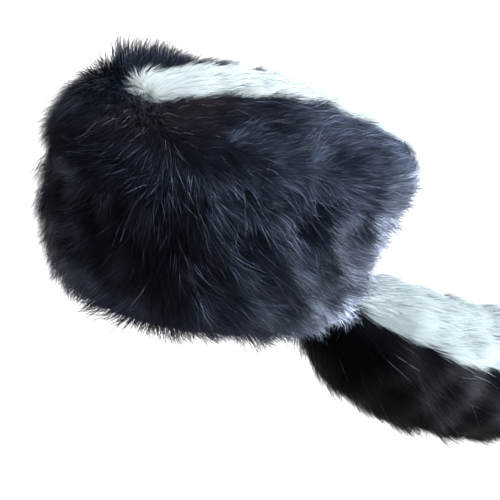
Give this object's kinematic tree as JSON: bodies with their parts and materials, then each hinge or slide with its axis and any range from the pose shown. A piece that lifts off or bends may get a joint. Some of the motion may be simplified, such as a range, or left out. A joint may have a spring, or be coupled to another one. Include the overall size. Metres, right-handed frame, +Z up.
{
  "type": "fur cap with a tail",
  "caption": "Round deep-fur winter cap, black with a white stripe along its domed crown and a bushy tail at the nape, white above and black below. Open below for a head.",
  "frame": {"origin": "centre of the head opening, in the plane of the pelt's lower edge", "axes": "+Z up through the crown, the forehead side faces -Y, the tail leaves towards +Y, +X is the wearer's left"},
  "size_m": [0.231, 0.5906, 0.3436],
  "materials": {
    "pelt": "matte suede",
    "black_fur": "glossy deep fur",
    "white_fur": "soft deep fur"
  },
  "bodies": {
    "root": {"band_pelt": "pelt", "crown_pelt": "pelt", "band_fur": "black_fur", "crown_fur": "black_fur", "crown_stripe": "white_fur", "tail_core": "pelt", "tail_fur_white": "white_fur", "tail_fur_black": "black_fur"}
  },
  "joints": []
}
